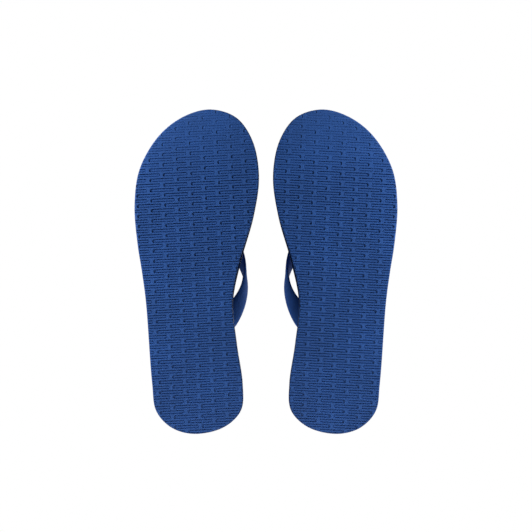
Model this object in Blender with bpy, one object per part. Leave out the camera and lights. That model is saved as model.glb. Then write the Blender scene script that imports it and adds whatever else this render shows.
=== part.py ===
"""A pair of thong sandals (flip flops): laminated foam soles with a moulded ribbon strap.

Each sandal is a sandwich. A tread sheet, the outsole, closes the underside. The midsole above it holds
the three feet of the strap in pockets, each under a retainer that spreads the pull over the foam, and
the footbed sheet covers the top. The strap is one moulding: two ribbon arms that meet over a toe post.

Frame: +Z up, toes towards -Y, the wearer's left at +X. The origin is on the floor, midway between the
two sandals and halfway along them. A sandal is drawn as the right one, whose inner side is at +X, with
the tip of its toe at Y = 0, and is then put in its place. Sizes are in metres.
"""

import math

import bmesh
import bpy
from mathutils import Matrix, Vector

# Sole, seen from above
SOLE_LENGTH = 0.2700
BALL_WIDTH = 0.1035
WAIST_WIDTH = 0.0727
HEEL_WIDTH = 0.0755
PAIR_GAP = 0.0116  # between the two soles, at the ball of the foot

# Sole, from the floor up
OUTSOLE_THICKNESS = 0.0030
MIDSOLE_THICKNESS = 0.0100
FOOTBED_THICKNESS = 0.0026
GLUE_LINE = 0.0003
OUTSOLE_EDGE_ROUND = 0.0004
FOOTBED_EDGE_ROUND = 0.0010
TOE_SPRING = 0.0045  # how far the tip of the toe curls up
SPRING_LENGTH = 0.0720  # the stretch behind the tip that curls

# Strap
RIBBON_WIDTH = 0.0129  # where an arm is narrowest, just behind the toes
ANCHOR_WIDTH = 0.0230  # where an arm enters the footbed
RIBBON_THICKNESS = 0.0036  # in the middle of the ribbon
RIBBON_EDGE_THICKNESS = 0.0022
ARCH_HEIGHT = 0.0400  # highest edge of the strap above the footbed
INNER_BULGE = 0.0216  # how far an arm bows out from the line between the post and its anchor
OUTER_BULGE = 0.0138
WEB_LENGTH = 0.0208  # of the web that joins the arms over the post, from front to back
POST_DIAMETER = 0.0066
POST_FLARE = 0.0022  # how much wider the post is where it joins the web
POST_LEAN = 0.0060  # how far behind its foot the post meets the web

# Feet of the strap and their retainers, in the midsole's pockets
FOOT_THICKNESS = 0.0026
FOOT_OVERHANG = 0.0026  # how far a foot reaches past its ribbon or post
RETAINER_THICKNESS = 0.0014
RETAINER_MARGIN = 0.0015  # how far a retainer reaches past its foot
SEAT_GAP = 0.0003
SLOT_CLEARANCE = 0.0004
POCKET_CLEARANCE = 0.0005

# Where the strap enters the sole: across towards the other sandal, and along from the tip of the toe
WAIST_INNER_EDGE = 0.405 * WAIST_WIDTH
WAIST_OUTER_EDGE = -0.590 * WAIST_WIDTH
INNER_ANCHOR_INSET = 0.0090  # from the edge of the waist to the middle of the ribbon
OUTER_ANCHOR_INSET = 0.0112
POST_PLACE = Vector((0.133 * BALL_WIDTH, 0.215 * SOLE_LENGTH))
INNER_ANCHOR = Vector((WAIST_INNER_EDGE - INNER_ANCHOR_INSET, 0.652 * SOLE_LENGTH))
OUTER_ANCHOR = Vector((WAIST_OUTER_EDGE + OUTER_ANCHOR_INSET, 0.644 * SOLE_LENGTH))

# Fineness of the faceted shapes
OUTLINE_STEPS = 5  # points from one control point to the next
RIBBON_STEPS = 5
RIBBON_SIDES = 16
CURL_STRIPS = 7
EDGE_SEGMENTS = 3
ROUND_SIDES = 20

# Heights, each resting on the one before
MIDSOLE_BOTTOM = OUTSOLE_THICKNESS + GLUE_LINE
MIDSOLE_TOP = MIDSOLE_BOTTOM + MIDSOLE_THICKNESS
FOOTBED_BOTTOM = MIDSOLE_TOP + GLUE_LINE
FOOTBED_TOP = FOOTBED_BOTTOM + FOOTBED_THICKNESS
FOOT_BOTTOM = MIDSOLE_BOTTOM + SEAT_GAP
FOOT_TOP = FOOT_BOTTOM + FOOT_THICKNESS
FOOT_MIDDLE = (FOOT_BOTTOM + FOOT_TOP) / 2
RETAINER_BOTTOM = FOOT_TOP + SEAT_GAP
RETAINER_TOP = RETAINER_BOTTOM + RETAINER_THICKNESS
POCKET_TOP = RETAINER_TOP + SEAT_GAP

# Linear colours and roughness
OUTSOLE_RUBBER = ((0.030, 0.085, 0.260, 1.0), 0.62)
SOLE_FOAM = ((0.034, 0.094, 0.285, 1.0), 0.70)
STRAP_RUBBER = ((0.016, 0.045, 0.150, 1.0), 0.38)
RETAINER_NYLON = ((0.700, 0.700, 0.680, 1.0), 0.50)

# An arm of the strap, from behind the web to just above its anchor. Each row is a place on the arm,
# as shares of the way to the anchor, of the bulge and of the arch's height, then how far the ribbon
# has widened, then the direction from its front edge to its rear edge: outwards, backwards and up.
INNER_ARM = (
    (0.10, 0.05, 0.60, 0.53, (-0.39, 0.87, 0.31)),
    (0.20, 0.19, 0.70, 0.00, (-0.65, 0.66, 0.37)),
    (0.42, 0.58, 0.85, 0.15, (-0.50, 0.57, 0.65)),
    (0.60, 0.89, 0.85, 0.29, (-0.28, 0.47, 0.84)),
    (0.72, 0.96, 0.77, 0.33, (0.15, 0.46, 0.88)),
    (0.84, 0.80, 0.56, 0.61, (0.25, 0.72, 0.65)),
    (0.96, 0.39, 0.24, 1.00, (0.13, 0.97, 0.21)),
    (1.00, 0.07, 0.06, 1.00, (0.03, 1.00, 0.04)),
)
OUTER_ARM = (
    (0.10, -0.05, 0.60, 0.45, (-0.12, 0.94, 0.33)),
    (0.20, 0.03, 0.70, 0.00, (-0.56, 0.73, 0.39)),
    (0.44, 0.46, 0.84, 0.18, (-0.44, 0.64, 0.63)),
    (0.65, 0.91, 0.80, 0.52, (-0.22, 0.63, 0.75)),
    (0.82, 1.00, 0.59, 0.76, (-0.07, 0.71, 0.71)),
    (0.95, 0.61, 0.22, 0.90, (0.03, 0.95, 0.30)),
    (1.00, 0.10, 0.06, 1.00, (0.01, 1.00, 0.05)),
)
WEB_MIDDLE = 0.082 * (INNER_ANCHOR.y - POST_PLACE.y)  # behind the post
WEB_HEIGHT = 0.57 * ARCH_HEIGHT
WEB_DIRECTION = (0.0, 0.95, 0.31)


def sole_control_points():
    """The outline, from the tip of the toe down the inner side and back up the outer one."""
    ball, heel = BALL_WIDTH, HEEL_WIDTH
    shape = (
        (0.106 * ball, 0.000),
        (0.310 * ball, 0.025),
        (0.440 * ball, 0.095),
        (0.494 * ball, 0.204),
        (0.452 * ball, 0.328),
        (0.350 * ball, 0.467),
        (WAIST_INNER_EDGE, 0.594),
        (0.434 * heel, 0.726),
        (0.497 * heel, 0.848),
        (0.480 * heel, 0.927),
        (0.293 * heel, 0.979),
        (-0.033 * heel, 1.000),
        (-0.284 * heel, 0.981),
        (-0.454 * heel, 0.930),
        (-0.500 * heel, 0.844),
        (WAIST_OUTER_EDGE, 0.594),
        (-0.447 * ball, 0.500),
        (-0.482 * ball, 0.415),
        (-0.506 * ball, 0.296),
        (-0.464 * ball, 0.183),
        (-0.303 * ball, 0.078),
        (-0.102 * ball, 0.020),
    )
    return [Vector((across, along * SOLE_LENGTH)) for across, along in shape]


def smooth_point(before, start, end, after, share):
    """The point a share of the way from start to end on a centripetal Catmull-Rom curve."""
    points = (before, start, end, after)
    t = [0.0]
    for a, b in zip(points, points[1:]):
        t.append(t[-1] + math.sqrt((b - a).length))
    at = t[1] + share * (t[2] - t[1])
    a = [points[i].lerp(points[i + 1], (at - t[i]) / (t[i + 1] - t[i])) for i in range(3)]
    b = [a[i].lerp(a[i + 1], (at - t[i]) / (t[i + 2] - t[i])) for i in range(2)]
    return b[0].lerp(b[1], share)


def closed_curve(points, steps):
    """Points along a smooth closed curve through the given ones."""
    around = [points[-1], *points, points[0], points[1]]
    return [
        smooth_point(*around[i : i + 4], step / steps)
        for i in range(len(points))
        for step in range(steps)
    ]


def open_curve(points, steps):
    """Points along a smooth curve through the given ones, with both its ends."""
    longer = [2 * points[0] - points[1], *points, 2 * points[-1] - points[-2]]
    curve = [
        smooth_point(*longer[i : i + 4], step / steps)
        for i in range(len(points) - 1)
        for step in range(steps)
    ]
    return [*curve, points[-1]]


def object_of(bm, name):
    """A new object of the bmesh, with its faces pointing out."""
    bmesh.ops.recalc_face_normals(bm, faces=bm.faces)
    mesh = bpy.data.meshes.new(name)
    bm.to_mesh(mesh)
    bm.free()
    obj = bpy.data.objects.new(name, mesh)
    bpy.context.scene.collection.objects.link(obj)
    return obj


def extruded(loop, bottom, top):
    """A bmesh of the flat outline, extruded from one height to the other."""
    bm = bmesh.new()
    base = bm.faces.new([bm.verts.new((p.x, p.y, bottom)) for p in loop])
    raised = bmesh.ops.extrude_face_region(bm, geom=[base], use_keep_orig=True)["geom"]
    top_verts = [part for part in raised if isinstance(part, bmesh.types.BMVert)]
    bmesh.ops.translate(bm, vec=(0, 0, top - bottom), verts=top_verts)
    return bm


def prism(name, loop, bottom, top):
    return object_of(extruded(loop, bottom, top), name)


def lofted(name, loops):
    """A closed solid through loops with equal numbers of points, capped at both ends."""
    bm = bmesh.new()
    rings = [[bm.verts.new(point) for point in loop] for loop in loops]
    for low, high in zip(rings, rings[1:]):
        for i in range(len(low)):
            bm.faces.new((low[i - 1], low[i], high[i], high[i - 1]))
    bm.faces.new(rings[0])
    bm.faces.new(rings[-1])
    return object_of(bm, name)


def circle(centre, diameter):
    turns = (2 * math.pi * i / ROUND_SIDES for i in range(ROUND_SIDES))
    return [centre + diameter / 2 * Vector((math.cos(turn), math.sin(turn))) for turn in turns]


def stadium(centre, width, length):
    """An outline with round ends, long in the direction of the sole."""
    half = ROUND_SIDES // 2
    loop = []
    for end in (1, -1):
        middle = centre + Vector((0, end * (length - width) / 2))
        for turn in (math.pi * i / half for i in range(half + 1)):
            loop.append(middle + end * width / 2 * Vector((math.cos(turn), math.sin(turn))))
    return loop


def around_strap(place, margin):
    """The outline that lies this far outside the ribbon at an anchor, or outside the toe post."""
    if place is POST_PLACE:
        return circle(place, POST_DIAMETER + 2 * margin)
    return stadium(place, RIBBON_THICKNESS + 2 * margin, ANCHOR_WIDTH + 2 * margin)


def combine(obj, others, operation):
    """Joins the others to the object, or cuts them from it, and removes them."""
    for other in others:
        modifier = obj.modifiers.new(operation, "BOOLEAN")
        modifier.operation = operation
        modifier.solver = "EXACT"
        modifier.object = other
    graph = bpy.context.evaluated_depsgraph_get()
    result = bpy.data.meshes.new_from_object(obj.evaluated_get(graph))
    obj.modifiers.clear()
    obj.data = result
    for other in others:
        bpy.data.objects.remove(other)
    return obj


def sole_layer(name, bottom, top, rim_height, edge_round, segments):
    """A sheet of the sole's outline, with its rim at one height rounded over."""
    bm = extruded(closed_curve(sole_control_points(), OUTLINE_STEPS), bottom, top)
    if edge_round:
        rim = [
            edge
            for edge in bm.edges
            if all(abs(vert.co.z - rim_height) < GLUE_LINE / 10 for vert in edge.verts)
        ]
        bmesh.ops.bevel(
            bm, geom=rim, offset=edge_round, segments=segments, profile=0.5, affect="EDGES"
        )
    for strip in range(1, CURL_STRIPS):
        bmesh.ops.bisect_plane(
            bm,
            geom=[*bm.verts, *bm.edges, *bm.faces],
            plane_co=(0, SPRING_LENGTH * strip / CURL_STRIPS, 0),
            plane_no=(0, 1, 0),
        )
    return object_of(bm, name)


def cut_for_strap(layer, margin, bottom, top):
    """Cuts the room that the strap needs at its three places, between these heights."""
    cutters = [
        prism("hole", around_strap(place, margin), bottom, top)
        for place in (POST_PLACE, INNER_ANCHOR, OUTER_ANCHOR)
    ]
    return combine(layer, cutters, "DIFFERENCE")


def outsole():
    return sole_layer("outsole", 0, OUTSOLE_THICKNESS, 0, OUTSOLE_EDGE_ROUND, 1)


def midsole():
    layer = sole_layer("midsole", MIDSOLE_BOTTOM, MIDSOLE_TOP, MIDSOLE_TOP, 0, 1)
    cut_for_strap(layer, SLOT_CLEARANCE, 0, FOOTBED_TOP)
    pocket_margin = FOOT_OVERHANG + RETAINER_MARGIN + POCKET_CLEARANCE
    return cut_for_strap(layer, pocket_margin, 0, POCKET_TOP)


def footbed():
    layer = sole_layer(
        "footbed", FOOTBED_BOTTOM, FOOTBED_TOP, FOOTBED_TOP, FOOTBED_EDGE_ROUND, EDGE_SEGMENTS
    )
    return cut_for_strap(layer, SLOT_CLEARANCE, MIDSOLE_BOTTOM, 2 * FOOTBED_TOP)


def retainer(place):
    """The plate or washer that a foot of the strap pulls against."""
    rim = around_strap(place, FOOT_OVERHANG + RETAINER_MARGIN)
    blank = prism("retainer", rim, RETAINER_BOTTOM, RETAINER_TOP)
    hole = prism("hole", around_strap(place, SLOT_CLEARANCE), FOOT_BOTTOM, MIDSOLE_TOP)
    return combine(blank, [hole], "DIFFERENCE")


def edge_pair(middle, width, direction):
    """(front, rear): the centres of the ribbon's two round edges."""
    reach = (width - RIBBON_EDGE_THICKNESS) / 2 * Vector(direction).normalized()
    return middle - reach, middle + reach


def arm_pairs(rows, anchor, bulge, side):
    """Edge pairs from behind the web down to the arm's foot, where side is +1 for the inner arm."""
    post = POST_PLACE.to_3d()
    pairs = []
    for way, bow, height, widening, (out, back, up) in rows:
        middle = post.lerp(anchor.to_3d(), way)
        middle += Vector((side * bow * bulge, 0, FOOTBED_TOP + height * ARCH_HEIGHT))
        width = RIBBON_WIDTH + widening * (ANCHOR_WIDTH - RIBBON_WIDTH)
        pairs.append(edge_pair(middle, width, (side * out, back, up)))
    for height in (FOOTBED_TOP, FOOTBED_BOTTOM, FOOT_MIDDLE):
        middle = Vector((anchor.x, anchor.y, height))
        pairs.append(edge_pair(middle, ANCHOR_WIDTH, (0, 1, 0)))
    return pairs


def ribbon_section(front, rear, forward):
    """The ribbon's cross-section from one edge to the other, crowned on both faces."""
    middle = (front + rear) / 2
    across = (rear - front).normalized()
    out = forward.cross(across).normalized()
    half_width = (rear - front).length / 2 + RIBBON_EDGE_THICKNESS / 2
    crown = RIBBON_THICKNESS - RIBBON_EDGE_THICKNESS
    loop = []
    for turn in (2 * math.pi * i / RIBBON_SIDES for i in range(RIBBON_SIDES)):
        side, face = math.cos(turn), math.sin(turn)
        thickness = RIBBON_EDGE_THICKNESS + crown * (1 - side**2)
        # powers below one square the oval up, so that the faces stay broad and the edges round
        reach = math.copysign(abs(side) ** 0.6, side) * half_width
        height = math.copysign(abs(face) ** 0.75, face) * thickness / 2
        loop.append(middle + across * reach + out * height)
    return loop


def strap_ribbon():
    """Both arms and the web between them, as one ribbon from foot to foot."""
    web_middle = POST_PLACE.to_3d() + Vector((0, WEB_MIDDLE, FOOTBED_TOP + WEB_HEIGHT))
    web = edge_pair(web_middle, WEB_LENGTH, WEB_DIRECTION)
    inner = arm_pairs(INNER_ARM, INNER_ANCHOR, INNER_BULGE, 1)
    outer = arm_pairs(OUTER_ARM, OUTER_ANCHOR, OUTER_BULGE, -1)
    pairs = [*reversed(inner), web, *outer]
    front = open_curve([pair[0] for pair in pairs], RIBBON_STEPS)
    rear = open_curve([pair[1] for pair in pairs], RIBBON_STEPS)
    middle = [(a + b) / 2 for a, b in zip(front, rear)]
    last = len(middle) - 1
    loops = [
        ribbon_section(front[i], rear[i], middle[min(i + 1, last)] - middle[max(i - 1, 0)])
        for i in range(last + 1)
    ]
    return lofted("strap", loops)


def toe_post():
    """The post from its foot up into the web, leaning back a little and flared where it joins."""
    neck = Vector((POST_PLACE.x, POST_PLACE.y, FOOTBED_TOP))
    top = neck + Vector((0, POST_LEAN, WEB_HEIGHT - RIBBON_THICKNESS / 3))
    loops = [[p.to_3d() + Vector((0, 0, FOOT_MIDDLE)) for p in circle(POST_PLACE, POST_DIAMETER)]]
    for share in (0.0, 0.25, 0.5, 0.7, 0.85, 1.0):
        centre = neck.lerp(top, share)
        flared = circle(Vector((0, 0)), POST_DIAMETER + POST_FLARE * share**3)
        longer = 1 + 0.55 * share**3
        loops.append([centre + Vector((p.x, p.y * longer, 0)) for p in flared])
    return lofted("post", loops)


def strap():
    feet = [
        prism("foot", around_strap(place, FOOT_OVERHANG), FOOT_BOTTOM, FOOT_TOP)
        for place in (POST_PLACE, INNER_ANCHOR, OUTER_ANCHOR)
    ]
    return combine(strap_ribbon(), [toe_post(), *feet], "UNION")


def material(name, colour, roughness):
    made = bpy.data.materials.new(name)
    made.diffuse_color = colour
    made.use_nodes = True
    shader = made.node_tree.nodes["Principled BSDF"]
    shader.inputs["Base Color"].default_value = colour
    shader.inputs["Roughness"].default_value = roughness
    shader.inputs["Metallic"].default_value = 0.0
    return made


def curl_toe(mesh):
    """Raises everything near the tip of the toe, so that the whole sandwich curls."""
    for vertex in mesh.vertices:
        share = max(0.0, 1 - vertex.co.y / SPRING_LENGTH)
        vertex.co.z += TOE_SPRING * share**2


def put_on_sandal(obj, side, frame, finish):
    """Curls a piece with the sole, mirrors it if it is for the left foot, and hangs it on its frame."""
    mesh = obj.data
    curl_toe(mesh)
    mesh.transform(Matrix.Translation((0, -SOLE_LENGTH / 2, 0)))
    if side > 0:
        mesh.transform(Matrix.Scale(-1, 4, (1, 0, 0)))
        mesh.flip_normals()
    mesh.materials.clear()
    mesh.materials.append(finish)
    mesh.shade_smooth()
    mesh.set_sharp_from_angle(angle=math.radians(35))
    obj.parent = frame


def sandal(foot, side, finishes):
    """One sandal of the pair, where side is +1 for the wearer's left and -1 for the right."""
    innermost = max(p.x for p in closed_curve(sole_control_points(), OUTLINE_STEPS))
    frame = bpy.data.objects.new(foot + "_flip_flop", None)
    frame.location.x = side * (PAIR_GAP / 2 + innermost)
    bpy.context.scene.collection.objects.link(frame)
    pieces = (
        ("outsole", outsole(), "rubber"),
        ("midsole", midsole(), "foam"),
        ("footbed", footbed(), "foam"),
        ("strap", strap(), "strap"),
        ("toe_washer", retainer(POST_PLACE), "nylon"),
        ("inner_anchor_plate", retainer(INNER_ANCHOR), "nylon"),
        ("outer_anchor_plate", retainer(OUTER_ANCHOR), "nylon"),
    )
    for name, obj, finish in pieces:
        obj.name = foot + "_" + name
        put_on_sandal(obj, side, frame, finishes[finish])


def main():
    for obj in list(bpy.data.objects):
        bpy.data.objects.remove(obj)
    finishes = {
        "rubber": material("outsole_rubber", *OUTSOLE_RUBBER),
        "foam": material("sole_foam", *SOLE_FOAM),
        "strap": material("strap_rubber", *STRAP_RUBBER),
        "nylon": material("retainer_nylon", *RETAINER_NYLON),
    }
    sandal("left", 1, finishes)
    sandal("right", -1, finishes)


main()
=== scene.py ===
# %% [markdown]
# # A pair of flip flops
#
# A flip flop is a sandwich. A tread sheet, the outsole, is glued under a thick foam core, the midsole, and
# a thinner sheet, the footbed, covers it. One rubber moulding is the strap: two ribbon arms that meet over
# a toe post. Its three feet sit in pockets of the midsole, each held by a small nylon plate.
#
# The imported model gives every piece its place. This lesson keeps what is already right, which is the
# midsole and the plates, and models again what needs a finer surface: the tread, the footbed and the strap.
# The right sandal is modelled first, and the left one is its mirror image.

# %% Load the frame
import math

import bmesh
import bpy
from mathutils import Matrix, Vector


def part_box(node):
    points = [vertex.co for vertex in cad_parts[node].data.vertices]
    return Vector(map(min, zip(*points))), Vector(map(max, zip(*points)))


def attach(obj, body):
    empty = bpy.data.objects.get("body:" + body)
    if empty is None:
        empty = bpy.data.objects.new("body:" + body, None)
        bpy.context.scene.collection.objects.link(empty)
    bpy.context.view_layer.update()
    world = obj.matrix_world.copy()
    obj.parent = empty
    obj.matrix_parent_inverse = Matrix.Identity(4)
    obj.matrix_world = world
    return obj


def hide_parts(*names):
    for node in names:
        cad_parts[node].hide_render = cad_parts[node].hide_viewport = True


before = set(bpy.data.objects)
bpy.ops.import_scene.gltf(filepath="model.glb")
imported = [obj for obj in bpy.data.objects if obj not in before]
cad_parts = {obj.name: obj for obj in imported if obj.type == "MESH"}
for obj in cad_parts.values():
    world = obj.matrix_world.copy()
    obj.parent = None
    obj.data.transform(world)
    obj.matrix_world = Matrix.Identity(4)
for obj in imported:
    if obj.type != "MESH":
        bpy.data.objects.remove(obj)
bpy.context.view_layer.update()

# %% [markdown]
# ## Hands and eyes
#
# Blender's operators act on what is active and selected, just as they do for someone at the screen. The
# frame arrives selected, so each step starts by selecting one object alone. In edit mode, faces and edges
# are selected by a test on their place or their normal, which stands in for clicking on them.


# %% Selecting objects and parts of them
def take(piece):
    """Selects this object alone and makes it the active one."""
    bpy.ops.object.select_all(action="DESELECT")
    piece.select_set(True)
    bpy.context.view_layer.objects.active = piece


def edit(piece):
    """Opens the object in edit mode with everything selected."""
    take(piece)
    bpy.ops.object.mode_set(mode="EDIT")
    bpy.ops.mesh.select_all(action="SELECT")


def leave():
    bpy.ops.object.mode_set(mode="OBJECT")


def pick(piece, kind, test):
    """In edit mode, selects only the vertices, edges or faces that pass the test."""
    bpy.ops.mesh.select_mode(type=kind)
    bpy.ops.mesh.select_all(action="DESELECT")
    mesh = bmesh.from_edit_mesh(piece.data)
    parts = {"VERT": mesh.verts, "EDGE": mesh.edges, "FACE": mesh.faces}[kind]
    for part in parts:
        if not part.hide and test(part):
            part.select_set(True)
    bmesh.update_edit_mesh(piece.data)


def face_out(piece):
    """Turns every face of a closed shape outwards."""
    edit(piece)
    bpy.ops.mesh.normals_make_consistent(inside=False)
    leave()


def use_modifier(piece, kind, **settings):
    """Adds a modifier, sets it and applies it."""
    take(piece)
    modifier = piece.modifiers.new(kind.title(), kind)
    for name, value in settings.items():
        setattr(modifier, name, value)
    bpy.ops.object.modifier_apply(modifier=modifier.name)


# %% [markdown]
# ## The outline of the sole
#
# All three layers are cut with one die, so they share one outline: broad and slanted at the toes, drawn in
# at the waist, round at the heel. It could be drawn as a Bezier curve. Here it is a smooth curve through a
# few points, because the same curve shaped the frame and the layers then lie exactly on each other. The
# points are shares of four sizes. The box of the frame's outsole gives the length and the place.

# %% Sizes and the outline
BALL_WIDTH = 0.1035
WAIST_WIDTH = 0.0727
HEEL_WIDTH = 0.0755
WAIST_INNER_EDGE = 0.405 * WAIST_WIDTH
WAIST_OUTER_EDGE = -0.590 * WAIST_WIDTH
OUTLINE_STEPS = 8

sole_low, sole_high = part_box("right_outsole")
SOLE_LENGTH = sole_high.y - sole_low.y


def smooth_point(before, start, end, after, share):
    """The point a share of the way from start to end on a centripetal Catmull-Rom curve."""
    points = (before, start, end, after)
    t = [0.0]
    for a, b in zip(points, points[1:]):
        t.append(t[-1] + math.sqrt((b - a).length))
    at = t[1] + share * (t[2] - t[1])
    a = [points[i].lerp(points[i + 1], (at - t[i]) / (t[i + 1] - t[i])) for i in range(3)]
    b = [a[i].lerp(a[i + 1], (at - t[i]) / (t[i + 2] - t[i])) for i in range(2)]
    return b[0].lerp(b[1], share)


def closed_curve(points, steps):
    """Points along a smooth closed curve through the given ones."""
    around = [points[-1], *points, points[0], points[1]]
    return [
        smooth_point(*around[i : i + 4], step / steps)
        for i in range(len(points))
        for step in range(steps)
    ]


def sole_outline():
    """The right sole's outline in its place, from the tip of the toe down the inner side and back."""
    ball, heel = BALL_WIDTH, HEEL_WIDTH
    shape = (
        (0.106 * ball, 0.000),
        (0.310 * ball, 0.025),
        (0.440 * ball, 0.095),
        (0.494 * ball, 0.204),
        (0.452 * ball, 0.328),
        (0.350 * ball, 0.467),
        (WAIST_INNER_EDGE, 0.594),
        (0.434 * heel, 0.726),
        (0.497 * heel, 0.848),
        (0.480 * heel, 0.927),
        (0.293 * heel, 0.979),
        (-0.033 * heel, 1.000),
        (-0.284 * heel, 0.981),
        (-0.454 * heel, 0.930),
        (-0.500 * heel, 0.844),
        (WAIST_OUTER_EDGE, 0.594),
        (-0.447 * ball, 0.500),
        (-0.482 * ball, 0.415),
        (-0.506 * ball, 0.296),
        (-0.464 * ball, 0.183),
        (-0.303 * ball, 0.078),
        (-0.102 * ball, 0.020),
    )
    points = [Vector((across, along * SOLE_LENGTH)) for across, along in shape]
    curve = closed_curve(points, OUTLINE_STEPS)
    corner = Vector((sole_high.x - max(p.x for p in curve), sole_low.y))
    return [corner + p for p in curve], corner


outline, SOLE_CORNER = sole_outline()
outline_width = max(p.x for p in outline) - min(p.x for p in outline)
print("outline:", len(outline), "points, width", round(outline_width, 4))
print("frame's outsole:", [round(size, 4) for size in sole_high - sole_low])

# %% [markdown]
# ## A sheet of the sole
#
# Each layer starts the same way, as on a bench: draw the outline, fill it, give it thickness, and ease the
# rim that a hand or the ground touches. The filled outline is a circle primitive whose points are laid on
# the curve. Extruding that one face makes the sheet, and bevelling its rim rounds the edge.
#
# The toe of the finished sole curls up a little. The curl is a formula on the height, used last, and it
# needs edges across the toe to follow, which bisecting puts in.

# %% Sheets, rims and the curl of the toe
TOE_SPRING = 0.0045
SPRING_LENGTH = 0.0720
CURL_STRIPS = 12
SAME_HEIGHT = 1e-5


def filled(name, points):
    """A filled ring with one vertex on each point."""
    bpy.ops.object.select_all(action="DESELECT")
    bpy.ops.mesh.primitive_circle_add(vertices=len(points), radius=BALL_WIDTH / 2, fill_type="NGON")
    piece = bpy.context.object
    piece.name = name
    for vertex, point in zip(piece.data.vertices, points):
        vertex.co = point
    return piece


def sheet(name, points, bottom, top):
    """The outline as a sheet between two heights."""
    piece = filled(name, [(p.x, p.y, bottom) for p in points])
    edit(piece)
    bpy.ops.mesh.extrude_region_move(TRANSFORM_OT_translate={"value": (0, 0, top - bottom)})
    leave()
    face_out(piece)
    return piece


def round_rim(piece, height, radius, segments):
    """Rounds the edges that lie all at one height."""
    edit(piece)
    pick(piece, "EDGE", lambda e: all(abs(v.co.z - height) < SAME_HEIGHT for v in e.verts))
    bpy.ops.mesh.bevel(offset=radius, segments=segments, affect="EDGES")
    leave()


def raise_toe(piece):
    """Lifts the toe, the more the nearer to its tip."""
    for vertex in piece.data.vertices:
        share = max(0.0, 1 - (vertex.co.y - sole_low.y) / SPRING_LENGTH)
        vertex.co.z += TOE_SPRING * share**2


def curl_toe(piece):
    """Cuts the toe of a sheet into strips, so that it can follow the curl, and lifts it."""
    for strip in range(1, CURL_STRIPS):
        edit(piece)
        along = sole_low.y + SPRING_LENGTH * strip / CURL_STRIPS
        bpy.ops.mesh.bisect(plane_co=(0, along, 0), plane_no=(0, 1, 0))
        leave()
    raise_toe(piece)


# %% [markdown]
# ## The tread
#
# The underside is moulded with rows of long narrow loops. In each, a groove runs round a thin bar, with
# more room at the bar's outer end. Each row is shifted by half a loop, as bricks are. The rows lie a little
# askew, because the tread comes as a big sheet and the die isn't square to it. For the same reason the
# loops at the edge are cut through.
#
# A displacement map would be quick, but a real groove has a floor and two drafted walls that catch the
# light, so the grooves are cut. One loop is modelled as a cutter: extrude a filled ring, inset its top while
# pushing it up, which gives the walls their draft, inset again for the groove's floor, and push the middle
# back for the bar, which stays a little lower than the ground between the loops. Copies of the cutter fill
# the sole, and one Boolean cuts them all. Its manifold solver is the one that copes with so many at once.

# %% One loop of the tread, as a cutter
TREAD_THICKNESS = sole_high.z - TOE_SPRING
TREAD_RIM = 0.0012
RIM_SEGMENTS = 4
TRIM_DEPTH = 0.0012
TRIM_PLACE = 0.47
TRIM_SPREAD = 0.034
LOOP_PITCH = 0.0228
ROW_PITCH = 0.0042
ROW_SKEW = math.radians(2.6)
LOOP_LENGTH = 0.0203
LOOP_WIDTH = 0.0031
GROOVE_FLOOR = 0.0005
GROOVE_DEPTH = 0.0009
GROOVE_DRAFT = 0.00024
BAR_DRAFT = 0.00016
BAR_DROP = 0.0004
OUTER_GAP = 0.0014
INNER_GAP = 0.0001
OVERCUT = 0.0003
TOE_DEPTH_SHARE = 0.35
FULL_DEPTH_AT = 0.0650
LOOP_CORNER = 0.0011
CORNER_SEGMENTS = 3
FIRST_LOOP = Vector((-0.0074, 0.0495))


def rounded_oblong(length, width, radius, segments):
    """A rectangle with round corners, long in X."""
    points = []
    for corner, (right, rear) in enumerate(((1, 1), (-1, 1), (-1, -1), (1, -1))):
        centre = Vector((right * (length / 2 - radius), rear * (width / 2 - radius)))
        for step in range(segments + 1):
            turn = math.pi / 2 * (corner + step / segments)
            points.append(centre + radius * Vector((math.cos(turn), math.sin(turn))))
    return points


def loop_cutter():
    """One loop, from a little below the floor up into the rubber, with the bar left standing in it."""
    mouth = rounded_oblong(LOOP_LENGTH, LOOP_WIDTH, LOOP_CORNER, CORNER_SEGMENTS)
    cutter = filled("loop", [(p.x, p.y, -OVERCUT) for p in mouth])
    edit(cutter)
    bpy.ops.mesh.extrude_region_move(TRANSFORM_OT_translate={"value": (0, 0, OVERCUT / 2)})
    bpy.ops.mesh.inset(thickness=GROOVE_DRAFT, depth=GROOVE_DEPTH + OVERCUT / 2)
    bpy.ops.mesh.inset(thickness=GROOVE_FLOOR, depth=0)
    bar = {v.index for v in bmesh.from_edit_mesh(cutter.data).verts if v.select}
    for side, gap in ((-1, OUTER_GAP), (1, INNER_GAP)):
        pick(cutter, "VERT", lambda v: v.index in bar and side * v.co.x > 0)
        bpy.ops.transform.translate(value=(side * (GROOVE_FLOOR - gap), 0, 0))
    pick(cutter, "FACE", lambda f: {v.index for v in f.verts} == bar)
    bpy.ops.mesh.inset(thickness=BAR_DRAFT, depth=BAR_DROP - GROOVE_DEPTH)
    leave()
    face_out(cutter)
    return cutter


cutter = loop_cutter()
print("one loop:", len(cutter.data.polygons), "faces")
print("its size in mm:", [round(side * 1000, 2) for side in cutter.dimensions])


# %% All the loops, and the cut
# More rows and columns than the sole has room for. Those that don't reach into it are left out.
ROWS = range(-16, 56)
COLUMNS = range(-5, 6)
ALONG_A_LOOP = (-1, -0.5, 0, 0.5, 1)


def inside(point, loop):
    """Whether a point lies inside: a ray from it crosses the closed outline an odd number of times."""
    crossings = 0
    for a, b in zip(loop, [*loop[1:], loop[0]]):
        if (a.y > point.y) != (b.y > point.y):
            crossings += point.x < a.x + (point.y - a.y) / (b.y - a.y) * (b.x - a.x)
    return crossings % 2 == 1


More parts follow.
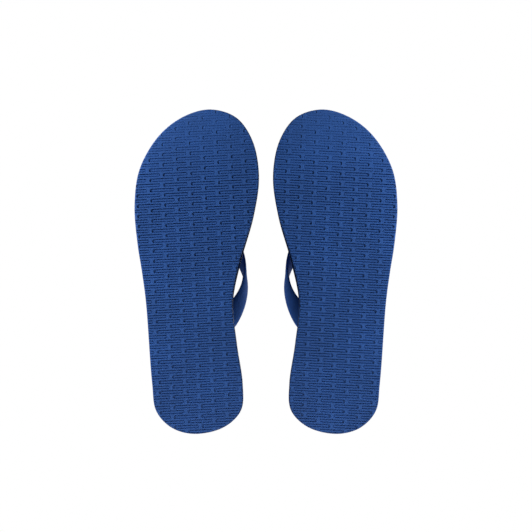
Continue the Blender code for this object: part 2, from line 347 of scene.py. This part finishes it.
def loop_places():
    """The middles of the loops that reach into the sole, row by row in a running bond."""
    across = Vector((math.cos(ROW_SKEW), -math.sin(ROW_SKEW)))
    along = Vector((math.sin(ROW_SKEW), math.cos(ROW_SKEW)))
    half = across * LOOP_LENGTH / 2
    places = []
    for row in ROWS:
        for column in COLUMNS:
            shift = (column + (row % 2) / 2) * LOOP_PITCH
            middle = SOLE_CORNER + FIRST_LOOP + across * shift + along * row * ROW_PITCH
            if any(inside(middle + half * share, outline) for share in ALONG_A_LOOP):
                places.append(middle)
    return places


def depth_share(place):
    """The tread is shallower towards the tip of the toe."""
    share = min(1.0, (place.y - sole_low.y) / FULL_DEPTH_AT)
    return TOE_DEPTH_SHARE + (1 - TOE_DEPTH_SHARE) * share


def spread(cutter, places):
    """Copies of the cutter, each with its own mesh, turned with the rows and joined."""
    copies = []
    for place in places:
        copy = cutter.copy()
        copy.data = cutter.data.copy()
        copy.location = (place.x, place.y, 0)
        copy.rotation_euler.z = -ROW_SKEW
        copy.scale.z = depth_share(place)
        bpy.context.scene.collection.objects.link(copy)
        copies.append(copy)
    bpy.data.objects.remove(cutter)
    take(copies[0])
    for copy in copies:
        copy.select_set(True)
    bpy.ops.object.join()
    bpy.ops.object.transform_apply(location=True, rotation=True, scale=True)
    return bpy.context.object


def cut(piece, cutter):
    """Takes the cutter's shape out of the piece, and removes the cutter."""
    use_modifier(piece, "BOOLEAN", operation="DIFFERENCE", solver="MANIFOLD", object=cutter)
    bpy.data.objects.remove(cutter)


def trimmed(point):
    """The tread is trimmed a little narrower than the foam along the arch, on the inner side."""
    middle = SOLE_CORNER.y + TRIM_PLACE * SOLE_LENGTH
    depth = TRIM_DEPTH * math.exp(-(((point.y - middle) / TRIM_SPREAD) ** 2))
    return Vector((point.x - (depth if point.x > SOLE_CORNER.x else 0), point.y))


places = loop_places()
tread = sheet("right_tread", [trimmed(point) for point in outline], 0, TREAD_THICKNESS)
round_rim(tread, 0, TREAD_RIM, RIM_SEGMENTS)
cut(tread, spread(cutter, places))
curl_toe(tread)
print("tread:", len(places), "loops,", len(tread.data.polygons), "faces")

# %% [markdown]
# ## The footbed
#
# The top sheet carries the foot. A smooth border follows the edge, a thin line is pressed inside it, and
# the field is covered with small raised diamonds that keep a bare foot from sliding. The border and the
# line are insets of the top face. The diamonds come from cutting the field with two sets of slanting lines
# and then insetting every whole diamond by itself while raising it, so that it becomes a little pillow.
# Those that the border cuts through are left flat, since their sharp corners would fold over.
#
# Three slots let the strap through. They are cut last, with outlines that follow the strap.

# %% The footbed's sheet, border and diamonds
FOOTBED_THICKNESS = 0.0026
FOOTBED_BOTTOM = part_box("right_footbed")[0].z
FOOTBED_TOP = FOOTBED_BOTTOM + FOOTBED_THICKNESS
FOOTBED_RIM = 0.0010
BORDER_WIDTH = 0.0042
LINE_WIDTH = 0.0005
LINE_DEPTH = 0.0004
DIAMOND_SPACING = 0.0046
DIAMOND_SLANT = math.radians(35)
PILLOW_EDGE = 0.0005
PILLOW_HEIGHT = 0.0004
WHOLE_WITHIN = 0.03


def press_border(piece):
    """Insets the top face: the border, the pressed line, then the field, which stays selected."""
    pick(piece, "FACE", lambda f: f.normal.z > 0 and len(f.verts) == len(outline))
    bpy.ops.mesh.inset(thickness=BORDER_WIDTH, depth=0)
    bpy.ops.mesh.inset(thickness=LINE_WIDTH, depth=-LINE_DEPTH)
    bpy.ops.mesh.inset(thickness=LINE_WIDTH, depth=0)
    bpy.ops.mesh.inset(thickness=LINE_WIDTH, depth=LINE_DEPTH)


def slice_field(piece):
    """Cuts the field, the only part in sight, with slanting lines to both sides."""
    middle = SOLE_CORNER + Vector((0, SOLE_LENGTH / 2))
    lines = round(0.5 * SOLE_LENGTH / DIAMOND_SPACING)
    for side in (1, -1):
        normal = Vector((side * math.cos(DIAMOND_SLANT), math.sin(DIAMOND_SLANT), 0))
        for line in range(-lines, lines + 1):
            at = middle.to_3d() + normal * DIAMOND_SPACING * line
            bpy.ops.mesh.select_all(action="SELECT")
            bpy.ops.mesh.bisect(plane_co=at, plane_no=normal)


def raise_diamonds(piece):
    """Raises each whole diamond on its own. Those that the border cuts through stay flat."""
    full = DIAMOND_SPACING**2 / math.sin(2 * DIAMOND_SLANT)
    pick(piece, "FACE", lambda f: len(f.verts) == 4 and abs(f.calc_area() / full - 1) < WHOLE_WITHIN)
    bpy.ops.mesh.inset(thickness=PILLOW_EDGE, depth=PILLOW_HEIGHT, use_individual=True)


footbed = sheet("right_top_sheet", outline, FOOTBED_BOTTOM, FOOTBED_TOP)
round_rim(footbed, FOOTBED_TOP, FOOTBED_RIM, RIM_SEGMENTS)
edit(footbed)
press_border(footbed)
bpy.ops.mesh.hide(unselected=True)
slice_field(footbed)
raise_diamonds(footbed)
bpy.ops.mesh.reveal(select=False)
leave()
print("footbed:", len(footbed.data.polygons), "faces")

# %% [markdown]
# ## Slots for the strap
#
# The strap goes down through the footbed at three places: the toe post in a round hole, and each arm in a
# long slot. The plates that hold its feet below are in the frame, so the middles of their boxes are where
# the holes go.

# %% The slots
RIBBON_THICKNESS = 0.0036
ANCHOR_WIDTH = 0.0230
POST_DIAMETER = 0.0066
SLOT_CLEARANCE = 0.0003
SLOT_OVERCUT = 0.0010
HOLE_SEGMENTS = 12
END_DISTANCE = 1e-6  # keeps the two round ends of a stadium from sharing points


def stadium(width, length, segments):
    """An outline with round ends, long in X."""
    points = []
    for end in (1, -1):
        for step in range(segments + 1):
            turn = math.pi * (step / segments - 0.5)
            tip = Vector(((length - width) / 2, 0)) + width / 2 * Vector((math.cos(turn), math.sin(turn)))
            points.append(end * tip)
    return points


def middle_of(node):
    low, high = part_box(node)
    return ((low + high) / 2).to_2d()


POST_PLACE = middle_of("right_toe_washer")
INNER_ANCHOR = middle_of("right_inner_anchor_plate")
OUTER_ANCHOR = middle_of("right_outer_anchor_plate")


def around_strap(place, margin):
    """The outline that lies this far outside the ribbon at an anchor, or outside the toe post."""
    if place is POST_PLACE:
        width = length = POST_DIAMETER + 2 * margin
    else:
        width, length = RIBBON_THICKNESS + 2 * margin, ANCHOR_WIDTH + 2 * margin
    flat = stadium(width, length + END_DISTANCE, HOLE_SEGMENTS)
    return [place + Vector((-p.y, p.x)) for p in flat]


for place in (POST_PLACE, INNER_ANCHOR, OUTER_ANCHOR):
    hole = around_strap(place, SLOT_CLEARANCE)
    slot = sheet("slot", hole, FOOTBED_BOTTOM - SLOT_OVERCUT, FOOTBED_TOP + SLOT_OVERCUT)
    cut(footbed, slot)
curl_toe(footbed)
for place in (POST_PLACE, INNER_ANCHOR, OUTER_ANCHOR):
    print("slot at", round(place.x, 4), round(place.y, 4))

# %% [markdown]
# ## The strap
#
# The strap is moulded in one piece. Its arms are ribbons, broad and upright where they leave the footbed,
# narrow and nearly level behind the toes, and each one twists on the way. A flat strip with a bend would
# miss that twist. So the ribbon is drawn as two edges, front and rear, which run as smooth curves through a
# few places. Between them stands a cross-section with crowned faces and round edges. The first section is a
# filled ring, and it is extruded from station to station, from one foot over the web to the other foot.

# %% The stations of the ribbon
RIBBON_WIDTH = 0.0129
RIBBON_EDGE_THICKNESS = 0.0022
ARCH_HEIGHT = 0.0400
INNER_BULGE = 0.0216
OUTER_BULGE = 0.0138
WEB_LENGTH = 0.0208
FOOT_THICKNESS = 0.0026
FOOT_OVERHANG = 0.0026
RIBBON_STEPS = 6
RIBBON_SIDES = 24
EDGE_POWER = 0.60  # powers below one square an oval up, so that the edges are round and the faces broad
FACE_POWER = 0.75

strap_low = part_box("right_strap")[0]
FOOT_BOTTOM = strap_low.z
FOOT_TOP = FOOT_BOTTOM + FOOT_THICKNESS
FOOT_MIDDLE = (FOOT_BOTTOM + FOOT_TOP) / 2

# Each row is a place on an arm, as shares of the way to the anchor, of the bulge and of the arch's height,
# then how far the ribbon has widened, then the direction from its front edge to its rear edge.
INNER_ARM = (
    (0.10, 0.05, 0.60, 0.53, (-0.39, 0.87, 0.31)),
    (0.20, 0.19, 0.70, 0.00, (-0.65, 0.66, 0.37)),
    (0.42, 0.58, 0.85, 0.15, (-0.50, 0.57, 0.65)),
    (0.60, 0.89, 0.85, 0.29, (-0.28, 0.47, 0.84)),
    (0.72, 0.96, 0.77, 0.33, (0.15, 0.46, 0.88)),
    (0.84, 0.80, 0.56, 0.61, (0.25, 0.72, 0.65)),
    (0.96, 0.39, 0.24, 1.00, (0.13, 0.97, 0.21)),
    (1.00, 0.07, 0.06, 1.00, (0.03, 1.00, 0.04)),
)
OUTER_ARM = (
    (0.10, -0.05, 0.60, 0.45, (-0.12, 0.94, 0.33)),
    (0.20, 0.03, 0.70, 0.00, (-0.56, 0.73, 0.39)),
    (0.44, 0.46, 0.84, 0.18, (-0.44, 0.64, 0.63)),
    (0.65, 0.91, 0.80, 0.52, (-0.22, 0.63, 0.75)),
    (0.82, 1.00, 0.59, 0.76, (-0.07, 0.71, 0.71)),
    (0.95, 0.61, 0.22, 0.90, (0.03, 0.95, 0.30)),
    (1.00, 0.10, 0.06, 1.00, (0.01, 1.00, 0.05)),
)
WEB_MIDDLE = 0.082 * (INNER_ANCHOR.y - POST_PLACE.y)
WEB_HEIGHT = 0.57 * ARCH_HEIGHT
WEB_DIRECTION = (0.0, 0.95, 0.31)


def open_curve(points, steps):
    """Points along a smooth curve through the given ones, with both its ends."""
    longer = [2 * points[0] - points[1], *points, 2 * points[-1] - points[-2]]
    curve = [
        smooth_point(*longer[i : i + 4], step / steps)
        for i in range(len(points) - 1)
        for step in range(steps)
    ]
    return [*curve, points[-1]]


def edge_pair(middle, width, direction):
    """(front, rear): the centres of the ribbon's two round edges."""
    reach = (width - RIBBON_EDGE_THICKNESS) / 2 * Vector(direction).normalized()
    return middle - reach, middle + reach


def arm_pairs(rows, anchor, bulge, side):
    """Edge pairs from behind the web down to the arm's foot, where side is +1 for the inner arm."""
    pairs = []
    for way, bow, height, widening, (out, back, up) in rows:
        middle = POST_PLACE.lerp(anchor, way).to_3d()
        middle += Vector((side * bow * bulge, 0, FOOTBED_TOP + height * ARCH_HEIGHT))
        width = RIBBON_WIDTH + widening * (ANCHOR_WIDTH - RIBBON_WIDTH)
        pairs.append(edge_pair(middle, width, (side * out, back, up)))
    for height in (FOOTBED_TOP, FOOTBED_BOTTOM, FOOT_MIDDLE):
        pairs.append(edge_pair(Vector((anchor.x, anchor.y, height)), ANCHOR_WIDTH, (0, 1, 0)))
    return pairs


def ribbon_section(front, rear, forward):
    """The ribbon's cross-section from one edge to the other, crowned on both faces."""
    middle = (front + rear) / 2
    across = (rear - front).normalized()
    out = forward.cross(across).normalized()
    half_width = (rear - front).length / 2 + RIBBON_EDGE_THICKNESS / 2
    crown = RIBBON_THICKNESS - RIBBON_EDGE_THICKNESS
    section = []
    for turn in (2 * math.pi * i / RIBBON_SIDES for i in range(RIBBON_SIDES)):
        side, face = math.cos(turn), math.sin(turn)
        thickness = RIBBON_EDGE_THICKNESS + crown * (1 - side**2)
        reach = math.copysign(abs(side) ** EDGE_POWER, side) * half_width
        height = math.copysign(abs(face) ** FACE_POWER, face) * thickness / 2
        section.append(middle + across * reach + out * height)
    return section


def ribbon_stations():
    """Sections of both arms and the web between them, from foot to foot."""
    web_middle = POST_PLACE.to_3d() + Vector((0, WEB_MIDDLE, FOOTBED_TOP + WEB_HEIGHT))
    web = edge_pair(web_middle, WEB_LENGTH, WEB_DIRECTION)
    inner = arm_pairs(INNER_ARM, INNER_ANCHOR, INNER_BULGE, 1)
    outer = arm_pairs(OUTER_ARM, OUTER_ANCHOR, OUTER_BULGE, -1)
    pairs = [*reversed(inner), web, *outer]
    front = open_curve([pair[0] for pair in pairs], RIBBON_STEPS)
    rear = open_curve([pair[1] for pair in pairs], RIBBON_STEPS)
    middle = [(a + b) / 2 for a, b in zip(front, rear)]
    last = len(middle) - 1
    return [
        ribbon_section(front[i], rear[i], middle[min(i + 1, last)] - middle[max(i - 1, 0)])
        for i in range(last + 1)
    ]


stations = ribbon_stations()
print("ribbon:", len(stations), "stations of", RIBBON_SIDES, "points")


# %% Extrude the ribbon from station to station
def drawn_through(name, stations):
    """A closed tube: one filled ring, extruded from each station to the next."""
    piece = filled(name, stations[0])
    edit(piece)
    for here, there in zip(stations, stations[1:]):
        bpy.ops.mesh.extrude_region_move()
        mesh = bmesh.from_edit_mesh(piece.data)
        for vertex in [v for v in mesh.verts if v.select]:
            nearest = min(range(len(here)), key=lambda i: (here[i] - vertex.co).length_squared)
            vertex.co = there[nearest]
        bmesh.update_edit_mesh(piece.data)
    leave()
    face_out(piece)
    return piece


strap = drawn_through("right_ribbon_strap", stations)
print("ribbon:", len(strap.data.polygons), "faces")

# %% [markdown]
# ## The toe post and the feet
#
# The post stands between the toes, leans back a little and flares into the web above it, so that the pull
# of the arms doesn't tear it off. It is drawn through rings like the ribbon, and the upper rings tilt to the
# slope of the web, so that none of them looks out in front of it. Under the footbed the post and both arms
# end in flat feet, which stay out of sight in the midsole. A Boolean union makes one moulding.

# %% Toe post, feet and the union
POST_FLARE = 0.0022
POST_LEAN = 0.0060
POST_STRETCH = 0.45
POST_RINGS = (0.0, 0.15, 0.3, 0.45, 0.6, 0.7, 0.8, 0.9, 1.0)
WEB_SLOPE = WEB_DIRECTION[2] / WEB_DIRECTION[1]


def post_stations():
    """Rings of the post, from its foot up into the web."""
    neck = Vector((POST_PLACE.x, POST_PLACE.y, FOOTBED_TOP))
    top = neck + Vector((0, POST_LEAN, WEB_HEIGHT - RIBBON_THICKNESS / 3))
    foot = Vector((neck.x, neck.y, FOOT_MIDDLE))
    rings = []
    for middle, share in [(foot, 0.0)] + [(neck.lerp(top, share), share) for share in POST_RINGS]:
        grown = share**3
        radius = (POST_DIAMETER + POST_FLARE * grown) / 2
        ring = []
        for step in range(2 * HOLE_SEGMENTS):
            turn = math.pi * step / HOLE_SEGMENTS
            back = radius * math.sin(turn) * (1 + POST_STRETCH * grown)
            ring.append(middle + Vector((radius * math.cos(turn), back, WEB_SLOPE * grown * back)))
        rings.append(ring)
    return rings


def join_on(piece, other):
    use_modifier(piece, "BOOLEAN", operation="UNION", solver="EXACT", object=other)
    bpy.data.objects.remove(other)


join_on(strap, drawn_through("post", post_stations()))
for place in (POST_PLACE, INNER_ANCHOR, OUTER_ANCHOR):
    join_on(strap, sheet("foot", around_strap(place, FOOT_OVERHANG), FOOT_BOTTOM, FOOT_TOP))
raise_toe(strap)
print("strap:", len(strap.data.polygons), "faces")

# %% [markdown]
# ## The left sandal
#
# The sandals are mirror images, so each finished piece is duplicated and mirrored across X. A negative
# scale turns a shape inside out, so its faces are turned outwards again afterwards. Then every piece is
# shaded smooth except across its sharp edges, and hung on its body.

# %% Mirror, shade and hang the pieces
SMOOTH_ANGLE = math.radians(32)
DOUBLES_WITHIN = 1e-6


def mirrored(piece, name):
    """The other sandal's piece, with its own mesh."""
    take(piece)
    bpy.ops.object.duplicate()
    twin = bpy.context.object
    twin.name = name
    twin.scale.x = -1
    bpy.ops.object.transform_apply(location=True, rotation=True, scale=True)
    face_out(twin)
    return twin


def clean(piece):
    """Merges doubles and turns the faces out."""
    edit(piece)
    bpy.ops.mesh.remove_doubles(threshold=DOUBLES_WITHIN)
    bpy.ops.mesh.normals_make_consistent(inside=False)
    leave()


pieces = {}
for kind, piece, node, slot in (
    ("tread", tread, "outsole", "outsole_rubber"),
    ("top_sheet", footbed, "footbed", "sole_foam"),
    ("ribbon_strap", strap, "strap", "strap_rubber"),
):
    clean(piece)
    for foot, made in (("right", piece), ("left", mirrored(piece, "left_" + kind))):
        take(made)
        bpy.ops.object.shade_smooth_by_angle(angle=SMOOTH_ANGLE)
        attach(made, foot + "_flip_flop")
        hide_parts(foot + "_" + node)
        pieces[foot, kind] = made
        print(made.name, len(made.data.polygons), "faces")

# %% [markdown]
# ## Materials
#
# Everything is one family of blue rubber, and still no two pieces look alike. The tread is matte with a
# fine linen grain from the mould, the foam has pores, and the strap is denser, darker and satin. Each
# material is a small net of nodes that reads the piece's own place in millimetres, so grain and pores keep
# their real size. The colour comes from a slow cloud and a fine speckle, and bump gives the grain.


# %% Node helpers
SPECKLE_SHARE = 0.8
CLOUD_SCALE = 0.55
DARK_AT = 0.32
LIGHT_AT = 0.68


def put(tree, kind, inputs, **settings):
    """Adds a node. An input given as a socket is linked, and any other value is set on it."""
    node = tree.nodes.new("ShaderNode" + kind)
    for name, value in settings.items():
        setattr(node, name, value)
    for name, value in inputs.items():
        if isinstance(value, bpy.types.NodeSocket):
            tree.links.new(value, node.inputs[name])
        else:
            node.inputs[name].default_value = value
    return node


def start_material(name):
    """(material, tree, shader, place): place is the object's coordinates in millimetres."""
    material = bpy.data.materials.new(name)
    material.use_nodes = True
    tree = material.node_tree
    shader = tree.nodes["Principled BSDF"]
    coordinates = put(tree, "TexCoord", {})
    place = put(tree, "Mapping", {"Vector": coordinates.outputs["Object"], "Scale": (1000, 1000, 1000)})
    return material, tree, shader, place.outputs["Vector"]


def noise(tree, place, size, detail=2.0):
    """A noise whose blotches are about this many millimetres across."""
    node = put(tree, "TexNoise", {"Vector": place, "Scale": 1 / size, "Detail": detail})
    return node.outputs["Fac"]


def math_of(tree, operation, first, second=0.0, third=0.0):
    return put(tree, "Math", {0: first, 1: second, 2: third}, operation=operation).outputs["Value"]


def mapped(tree, value, start, end, low, high):
    """A number that goes from low to high while the value goes from start to end."""
    node = put(tree, "MapRange", {"Value": value, 1: start, 2: end, 3: low, 4: high})
    return node.outputs["Result"]


def waves(tree, distance, pitch):
    """A sine wave along a distance, with both in millimetres."""
    return math_of(tree, "SINE", math_of(tree, "MULTIPLY", distance, 2 * math.pi / pitch))


def ramp(tree, factor, *stops):
    """A colour ramp through (position, colour) stops."""
    node = put(tree, "ValToRGB", {"Fac": factor})
    elements = node.color_ramp.elements
    while len(elements) < len(stops):
        elements.new(0.5)
    for element, (position, colour) in zip(elements, stops):
        element.position = position
        element.color = (*colour, 1)
    return node.outputs["Color"]


def shades(colour, darker, lighter):
    """Two shades of a colour."""
    return tuple(c * darker for c in colour), tuple(c * lighter for c in colour)


def cloudy(tree, place, colour, darker, lighter, cloud, speckle):
    """A colour that drifts over clouds of one size and speckles of another."""
    dark, light = shades(colour, darker, lighter)
    clouds = noise(tree, place, cloud)
    mixed = math_of(tree, "MULTIPLY_ADD", noise(tree, place, speckle), SPECKLE_SHARE, clouds)
    return ramp(tree, math_of(tree, "MULTIPLY", mixed, CLOUD_SCALE), (DARK_AT, dark), (LIGHT_AT, light))


def grain(tree, height, distance, strength):
    """Bump from a height field, in metres."""
    bump = put(tree, "Bump", {"Height": height, "Distance": distance, "Strength": strength})
    return bump.outputs["Normal"]


# %% [markdown]
# ### Tread rubber
#
# The mould leaves fine ribs across each bar, a little over a millimetre apart, and finer threads along it.
# Together they read as linen. Two sine waves make them. The rows of the two sandals are askew to opposite
# sides, so the ribs take the distance from the middle of the pair, which mirrors them.

# %% Tread rubber
RUBBER_BLUE = (0.0135, 0.0610, 0.2250)
RIB_PITCH = 1.25
THREAD_PITCH = 0.55 * RIB_PITCH
RIB_SHARE = 0.6
THREAD_SHARE = 0.3
GRIT_SHARE = 0.5


def tread_rubber():
    material, tree, shader, place = start_material("tread_rubber")
    axes = put(tree, "SeparateXYZ", {"Vector": place})
    outwards = math_of(tree, "ABSOLUTE", axes.outputs["X"])
    skewed = math_of(tree, "MULTIPLY_ADD", axes.outputs["Y"], math.sin(ROW_SKEW), outwards)
    threads = math_of(tree, "MULTIPLY", waves(tree, axes.outputs["Y"], THREAD_PITCH), THREAD_SHARE)
    linen = math_of(tree, "MULTIPLY_ADD", waves(tree, skewed, RIB_PITCH), RIB_SHARE, threads)
    rough = math_of(tree, "MULTIPLY_ADD", noise(tree, place, size=0.35), GRIT_SHARE, linen)
    colour = cloudy(tree, place, RUBBER_BLUE, darker=0.86, lighter=1.16, cloud=38.0, speckle=0.7)
    tree.links.new(colour, shader.inputs["Base Color"])
    dull = mapped(tree, noise(tree, place, size=6.0), 0, 1, 0.52, 0.66)
    tree.links.new(dull, shader.inputs["Roughness"])
    tree.links.new(grain(tree, rough, distance=0.00005, strength=0.6), shader.inputs["Normal"])
    shader.inputs["Specular IOR Level"].default_value = 0.25
    return material


# %% [markdown]
# ### Foam
#
# The midsole and the footbed are foamed rubber. A cut through foam shows closed cells as tiny pits, which a
# Voronoi pattern gives. The skin of the footbed has fewer and finer ones.

# %% Foam of the midsole and of the footbed
FOAM_BLUE = (0.022, 0.074, 0.250)
GRIT_OF_FOAM = 0.6


def foam(name, cell, pit_depth, roughness):
    material, tree, shader, place = start_material(name)
    cells = put(tree, "TexVoronoi", {"Vector": place, "Scale": 1 / cell, "Randomness": 1.0})
    pits = ramp(tree, cells.outputs["Distance"], (0.10, (0, 0, 0)), (0.42, (1, 1, 1)))
    surface = math_of(tree, "MULTIPLY_ADD", noise(tree, place, size=0.25, detail=3.0), GRIT_OF_FOAM, pits)
    colour = cloudy(tree, place, FOAM_BLUE, darker=0.84, lighter=1.14, cloud=26.0, speckle=1.1)
    tree.links.new(colour, shader.inputs["Base Color"])
    dull = mapped(tree, noise(tree, place, size=3.0), 0, 1, roughness, roughness + 0.12)
    tree.links.new(dull, shader.inputs["Roughness"])
    tree.links.new(grain(tree, surface, distance=pit_depth, strength=0.7), shader.inputs["Normal"])
    shader.inputs["Specular IOR Level"].default_value = 0.25
    return material


# %% [markdown]
# ### Strap rubber
#
# The strap is solid rubber from a satin mould: darker, hardly shiny, with faint flow marks along the ribbon
# and a fine orange-peel skin.

# %% Strap rubber
STRAP_BLUE = (0.014, 0.050, 0.185)
STRAP_GLOSS = (0.22, 0.42, 1.0)
FLOW_SHARE = 0.5


def strap_rubber():
    material, tree, shader, place = start_material("satin_strap_rubber")
    drawn = put(tree, "Mapping", {"Vector": place, "Scale": (1.0, 0.12, 0.4)})
    flow = noise(tree, drawn.outputs["Vector"], size=3.5, detail=3.0)
    peel = noise(tree, place, size=0.5, detail=3.0)
    skin = math_of(tree, "MULTIPLY_ADD", flow, FLOW_SHARE, peel)
    colour = cloudy(tree, place, STRAP_BLUE, darker=0.88, lighter=1.14, cloud=18.0, speckle=1.4)
    tree.links.new(colour, shader.inputs["Base Color"])
    tree.links.new(mapped(tree, flow, 0, 1, 0.52, 0.68), shader.inputs["Roughness"])
    tree.links.new(grain(tree, skin, distance=0.00004, strength=0.6), shader.inputs["Normal"])
    shader.inputs["Specular IOR Level"].default_value = 0.02
    shader.inputs["Specular Tint"].default_value = (*STRAP_GLOSS, 1)
    return material


# %% [markdown]
# ### Nylon
#
# The plates are moulded nylon, milky white, with a slightly mottled skin. They sit inside the sole.

# %% Nylon of the plates
NYLON_WHITE = (0.70, 0.70, 0.68)


def retainer_nylon():
    material, tree, shader, place = start_material("milky_nylon")
    colour = cloudy(tree, place, NYLON_WHITE, darker=0.9, lighter=1.05, cloud=5.0, speckle=0.8)
    tree.links.new(colour, shader.inputs["Base Color"])
    skin = noise(tree, place, size=0.4, detail=3.0)
    tree.links.new(grain(tree, skin, distance=0.00003, strength=0.6), shader.inputs["Normal"])
    shader.inputs["Roughness"].default_value = 0.45
    return material


# %% Dress every piece
def dress(obj, material):
    """Gives the object this one material."""
    while len(obj.material_slots) > 1:
        obj.data.materials.pop()
    if obj.material_slots:
        obj.material_slots[0].material = material
    else:
        obj.data.materials.append(material)


MATERIALS = {
    "tread": tread_rubber(),
    "top_sheet": foam("footbed_foam", cell=0.55, pit_depth=0.00004, roughness=0.58),
    "midsole": foam("midsole_foam", cell=0.9, pit_depth=0.00010, roughness=0.64),
    "ribbon_strap": strap_rubber(),
    "plate": retainer_nylon(),
}
for (foot, kind), piece in pieces.items():
    dress(piece, MATERIALS[kind])
for foot in ("right", "left"):
    dress(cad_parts[foot + "_midsole"], MATERIALS["midsole"])
    for plate in ("toe_washer", "inner_anchor_plate", "outer_anchor_plate"):
        dress(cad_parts[foot + "_" + plate], MATERIALS["plate"])
print("materials:", sorted(material.name for material in MATERIALS.values()))

# %% [markdown]
# ## Floor, light and camera
#
# The pair stands on a plain pale floor, and the camera looks straight up at the treads from below it. So
# the floor is painted on its upper side only, and from below one sees through it. Far away it glows white,
# a painted glow that stands in for a lit studio paper, so that no horizon shows.
#
# Soft lamps above light the pair. Below the floor, a small lamp rakes each tread from the outer side of its
# own sandal, because grooves show only in low light. One more lights both heels, and one for each strap
# picks out the arm beside the waist. The lamps below light only those pieces and leave the rest alone.

# %% Floor
FLOOR_SIZE = 40.0
FLOOR_GREY = (0.80, 0.80, 0.80)
# Between these distances the far floor fades into a painted white glow that no lamp gives.
GLOW_START = 500.0  # millimetres from the middle of the floor
GLOW_END = 3500.0


def floor_paint_and_glow():
    """Pale paint that fades into a painted white glow far away, and is clear from below."""
    material, tree, shader, place = start_material("floor_paint_and_glow")
    colour = cloudy(tree, place, FLOOR_GREY, darker=0.98, lighter=1.02, cloud=900.0, speckle=40.0)
    tree.links.new(colour, shader.inputs["Base Color"])
    shader.inputs["Roughness"].default_value = 0.8
    away = put(tree, "VectorMath", {0: place}, operation="LENGTH").outputs["Value"]
    # The share of painted white glow grows with the distance from the middle of the floor.
    glow_share = mapped(tree, away, GLOW_START, GLOW_END, 0.0, 1.0)
    white = put(tree, "Emission", {"Color": (1, 1, 1, 1), "Strength": 1.0})
    upper = put(tree, "MixShader", {0: glow_share, 1: shader.outputs[0], 2: white.outputs[0]})
    side = put(tree, "NewGeometry", {})
    clear = put(tree, "BsdfTransparent", {})
    both = put(tree, "MixShader", {0: side.outputs["Backfacing"], 1: upper.outputs[0], 2: clear.outputs[0]})
    tree.links.new(both.outputs[0], tree.nodes["Material Output"].inputs["Surface"])
    return material


bpy.ops.object.select_all(action="DESELECT")
bpy.ops.mesh.primitive_plane_add(size=FLOOR_SIZE)
floor = bpy.context.object
floor.name = "floor"
floor.data.materials.append(floor_paint_and_glow())
# The lamps below shine through the floor, and it doesn't brighten the treads that stand on it.
floor.visible_shadow = False
floor.visible_diffuse = False
floor.visible_glossy = False
print("floor:", FLOOR_SIZE, "m square")


# %% Lamps
def lamp(name, place, target, size, watts):
    """A square soft light that faces its target."""
    data = bpy.data.lights.new(name, "AREA")
    data.size = size
    data.energy = watts
    made = bpy.data.objects.new(name, data)
    bpy.context.scene.collection.objects.link(made)
    made.location = place
    made.rotation_euler = (Vector(target) - Vector(place)).to_track_quat("-Z", "Y").to_euler()
    return made


def light_only(light, members):
    """Lets a lamp light these objects and nothing else."""
    lit = bpy.data.collections.new(light.name + "_lights")
    for member in members:
        lit.objects.link(member)
    light.light_linking.receiver_collection = lit


SANDAL_X = abs(SOLE_CORNER.x)
lamp("key", place=(-0.7, -0.9, 1.5), target=(0, 0, 0), size=1.1, watts=17)
lamp("fill", place=(0.7, -0.2, 1.4), target=(0, 0, 0), size=1.1, watts=7)
lamp("rim", place=(0.2, 1.3, 0.9), target=(0, 0, 0), size=0.9, watts=8)
for foot, side in (("right", -1), ("left", 1)):
    low = (side * 0.60, -0.34, -0.29)
    rake = lamp("rake_" + foot, place=low, target=(side * SANDAL_X, 0.02, 0), size=0.12, watts=7.8)
    light_only(rake, [pieces[foot, "tread"]])
    behind = (-side * 0.35, 0.60, -0.05)
    glow = lamp("glow_" + foot, place=behind, target=(side * 0.02, 0.02, 0.035), size=0.12, watts=6.0)
    light_only(glow, [pieces[foot, "ribbon_strap"]])
below = lamp("below", place=(0, 0.42, -0.42), target=(0, 0.12, 0), size=0.4, watts=2.1)
light_only(below, [pieces["right", "tread"], pieces["left", "tread"]])

# %% [markdown]
# The sky is white to the camera. What it sheds is a soft band: dark below the floor, bright at the sides
# and weaker overhead, where the lamps are. The upward part of each direction steers it.

# %% Sky
SKY_BELOW = 0.05
SKY_SIDES = 0.75
SKY_RISES = (-0.05, 0.30)
SKY_TOP_SHARE = 0.10
SKY_FADES = (0.45, 0.85)

world = bpy.data.worlds.new("sky")
bpy.context.scene.world = world
world.use_nodes = True
sky = world.node_tree
seen = put(sky, "Background", {"Color": (1, 1, 1, 1), "Strength": 1.0})
direction = put(sky, "SeparateXYZ", {"Vector": put(sky, "TexCoord", {}).outputs["Generated"]})
rising = mapped(sky, direction.outputs["Z"], *SKY_RISES, SKY_BELOW, SKY_SIDES)
fading = mapped(sky, direction.outputs["Z"], *SKY_FADES, 1.0, SKY_TOP_SHARE)
strength = math_of(sky, "MULTIPLY", rising, fading)
lighting = put(sky, "Background", {"Color": (1, 1, 1, 1), "Strength": strength})
path = put(sky, "LightPath", {})
mixed = put(sky, "MixShader", {0: path.outputs["Is Camera Ray"], 1: lighting.outputs[0], 2: seen.outputs[0]})
sky.links.new(mixed.outputs[0], sky.nodes["World Output"].inputs["Surface"])
bpy.context.scene.view_settings.view_transform = "Standard"
print("sky: sheds", SKY_SIDES, "at the sides,", SKY_BELOW, "below")

# %% [markdown]
# The camera stands two and a half metres under the pair and looks straight up, with the toes at the top of
# the picture. From so far the sandals hardly narrow with height. The lens follows from the distance and the
# width in view.

# %% Camera
CAMERA_DISTANCE = 2.5
VIEW_WIDTH = 0.4420
VIEW_MIDDLE = Vector((0, -0.0046, 0))
SENSOR_WIDTH = 36.0

camera_data = bpy.data.cameras.new("camera")
camera_data.sensor_width = SENSOR_WIDTH
camera_data.lens = SENSOR_WIDTH * CAMERA_DISTANCE / VIEW_WIDTH
camera = bpy.data.objects.new("camera", camera_data)
bpy.context.scene.collection.objects.link(camera)
camera.location = VIEW_MIDDLE - Vector((0, 0, CAMERA_DISTANCE))
camera.rotation_euler = (math.pi, 0, 0)
bpy.context.scene.camera = camera
print("lens:", round(camera_data.lens, 1), "mm")
